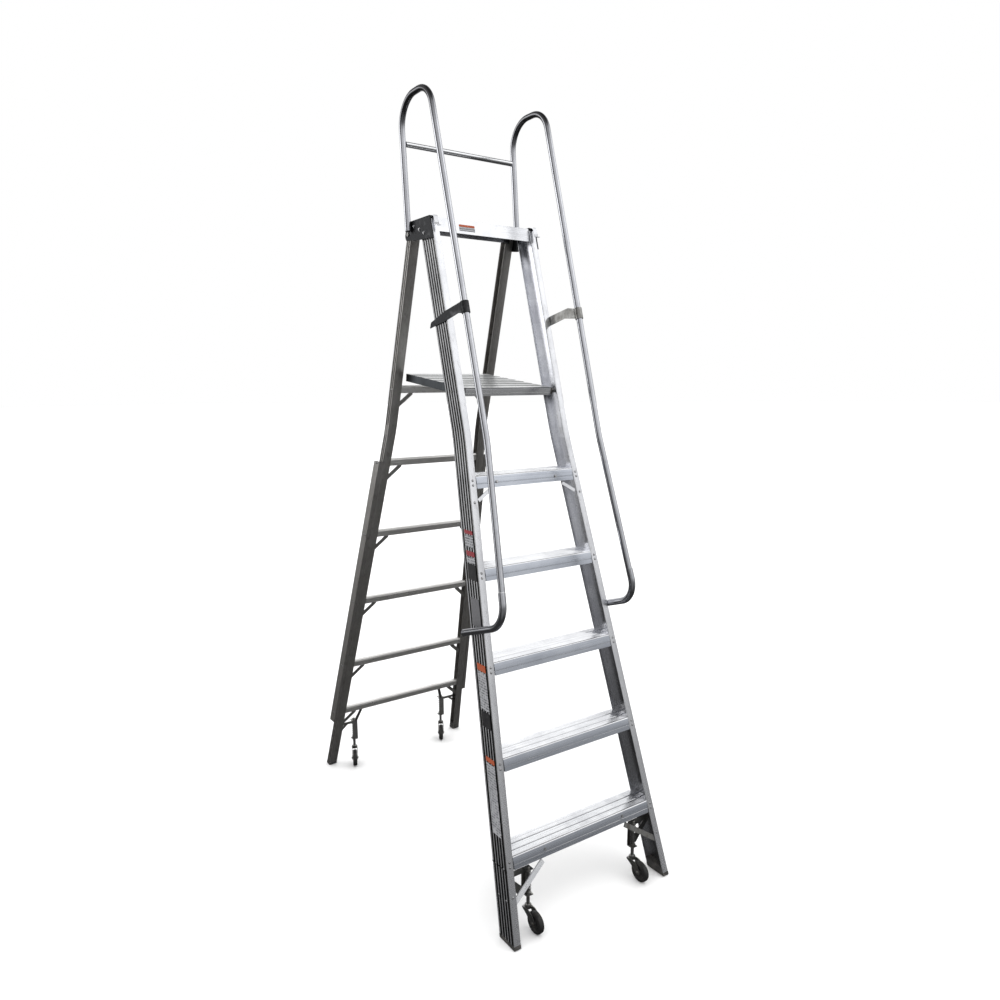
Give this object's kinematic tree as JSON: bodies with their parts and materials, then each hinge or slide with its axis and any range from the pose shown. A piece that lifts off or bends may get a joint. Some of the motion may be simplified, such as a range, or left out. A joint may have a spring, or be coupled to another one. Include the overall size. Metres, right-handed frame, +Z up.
{
  "type": "rolling warehouse ladder",
  "caption": "Aluminium A-frame warehouse ladder with a ribbed platform, looped handrails and spring-loaded swivel casters at its feet.",
  "frame": {"origin": "on the floor under the middle of the bounding box", "axes": "+Z up, -Y towards the climbing side (the treads), +X to the right of someone facing the treads from the -Y side"},
  "size_m": [0.7316, 1.557, 2.8055],
  "materials": {
    "aluminium": "mill and lightly brushed",
    "head_casting": "dark satin",
    "zinc_plated": "zinc plated",
    "spring_steel": "oiled",
    "foot_rubber": "matte, moulded",
    "wheel_rubber": "satin"
  },
  "bodies": {
    "base": {"caster_bracket_front_left": "zinc_plated", "caster_bracket_front_right": "zinc_plated", "caster_spring_front_left": "spring_steel", "caster_spring_front_right": "spring_steel", "foot_front_left": "foot_rubber", "foot_front_right": "foot_rubber", "front_rail_left": "aluminium", "front_rail_right": "aluminium", "handrail_crossbar": "aluminium", "handrail_left": "aluminium", "handrail_lower_bend_left": "aluminium", "handrail_lower_bend_right": "aluminium", "handrail_right": "aluminium", "handrail_standoff_left": "head_casting", "handrail_standoff_right": "head_casting", "head_bracket_left": "head_casting", "head_bracket_right": "head_casting", "head_channel": "aluminium", "platform_pin_left": "zinc_plated", "platform_pin_right": "zinc_plated", "rear_pivot_pin_left": "zinc_plated", "rear_pivot_pin_right": "zinc_plated", "step_1": "aluminium", "step_1_brace_left": "aluminium", "step_1_brace_right": "aluminium", "step_2": "aluminium", "step_3": "aluminium", "step_4": "aluminium", "step_5": "aluminium", "step_5_brace_left": "aluminium", "step_5_brace_right": "aluminium"},
    "rear_frame": {"caster_bracket_rear_left": "zinc_plated", "caster_bracket_rear_right": "zinc_plated", "caster_spring_rear_left": "spring_steel", "caster_spring_rear_right": "spring_steel", "foot_rear_left": "foot_rubber", "foot_rear_right": "foot_rubber", "rear_rail_left": "aluminium", "rear_rail_right": "aluminium", "rear_rung_1": "aluminium", "rear_rung_2": "aluminium", "rear_rung_3": "aluminium", "rear_rung_4": "aluminium", "rear_rung_5": "aluminium", "rear_rung_6": "aluminium", "rear_stiffener_left": "aluminium", "rear_stiffener_right": "aluminium"},
    "platform": {"platform": "aluminium"},
    "stem_front_left": {"caster_stem_front_left": "zinc_plated"},
    "fork_front_left": {"caster_fork_front_left": "zinc_plated"},
    "wheel_front_left": {"caster_wheel_front_left": "wheel_rubber"},
    "stem_front_right": {"caster_stem_front_right": "zinc_plated"},
    "fork_front_right": {"caster_fork_front_right": "zinc_plated"},
    "wheel_front_right": {"caster_wheel_front_right": "wheel_rubber"},
    "stem_rear_left": {"caster_stem_rear_left": "zinc_plated"},
    "fork_rear_left": {"caster_fork_rear_left": "zinc_plated"},
    "wheel_rear_left": {"caster_wheel_rear_left": "wheel_rubber"},
    "stem_rear_right": {"caster_stem_rear_right": "zinc_plated"},
    "fork_rear_right": {"caster_fork_rear_right": "zinc_plated"},
    "wheel_rear_right": {"caster_wheel_rear_right": "wheel_rubber"}
  },
  "joints": [
    {"name": "rear_fold", "type": "hinge", "parent": "base", "child": "rear_frame", "pos_m": [0, 0.06698, 2.345], "axis": [-1, 0, 0], "range_deg": [0, 30]},
    {"name": "platform_lift", "type": "hinge", "parent": "base", "child": "platform", "pos_m": [0, -0.22455, 1.7867], "axis": [1, 0, 0], "range_deg": [0, 66]},
    {"name": "spring_front_left", "type": "slide", "parent": "base", "child": "stem_front_left", "axis": [0, 0, 1], "range_m": [0, 0.02], "stiffness_N_per_m": 4000, "springref_m": -0.03, "deforming": ["caster_spring_front_left"]},
    {"name": "swivel_front_left", "type": "hinge", "parent": "stem_front_left", "child": "fork_front_left", "pos_m": [-0.24204, -0.69707, 0.0766], "axis": [0, 0, 1], "continuous": true},
    {"name": "roll_front_left", "type": "hinge", "parent": "fork_front_left", "child": "wheel_front_left", "pos_m": [-0.24204, -0.74107, 0.038], "axis": [1, 0, 0], "continuous": true},
    {"name": "spring_front_right", "type": "slide", "parent": "base", "child": "stem_front_right", "axis": [0, 0, 1], "range_m": [0, 0.02], "stiffness_N_per_m": 4000, "springref_m": -0.03, "deforming": ["caster_spring_front_right"]},
    {"name": "swivel_front_right", "type": "hinge", "parent": "stem_front_right", "child": "fork_front_right", "pos_m": [0.24204, -0.69707, 0.0766], "axis": [0, 0, 1], "continuous": true},
    {"name": "roll_front_right", "type": "hinge", "parent": "fork_front_right", "child": "wheel_front_right", "pos_m": [0.24204, -0.74107, 0.038], "axis": [1, 0, 0], "continuous": true},
    {"name": "spring_rear_left", "type": "slide", "parent": "rear_frame", "child": "stem_rear_left", "axis": [0, 0, 1], "range_m": [0, 0.02], "stiffness_N_per_m": 4000, "springref_m": -0.03, "deforming": ["caster_spring_rear_left"]},
    {"name": "swivel_rear_left", "type": "hinge", "parent": "stem_rear_left", "child": "fork_rear_left", "pos_m": [-0.24208, 0.72089, 0.0766], "axis": [0, 0, 1], "continuous": true},
    {"name": "roll_rear_left", "type": "hinge", "parent": "fork_rear_left", "child": "wheel_rear_left", "pos_m": [-0.25921, 0.68036, 0.038], "axis": [0.9211, -0.3894, 0], "continuous": true},
    {"name": "spring_rear_right", "type": "slide", "parent": "rear_frame", "child": "stem_rear_right", "axis": [0, 0, 1], "range_m": [0, 0.02], "stiffness_N_per_m": 4000, "springref_m": -0.03, "deforming": ["caster_spring_rear_right"]},
    {"name": "swivel_rear_right", "type": "hinge", "parent": "stem_rear_right", "child": "fork_rear_right", "pos_m": [0.24208, 0.72089, 0.0766], "axis": [0, 0, 1], "continuous": true},
    {"name": "roll_rear_right", "type": "hinge", "parent": "fork_rear_right", "child": "wheel_rear_right", "pos_m": [0.22098, 0.68227, 0.038], "axis": [0.8776, -0.4794, 0], "continuous": true}
  ],
  "couplings": [
    {"joint": "platform_lift", "follows": "rear_fold", "ratio": 2.2}
  ]
}
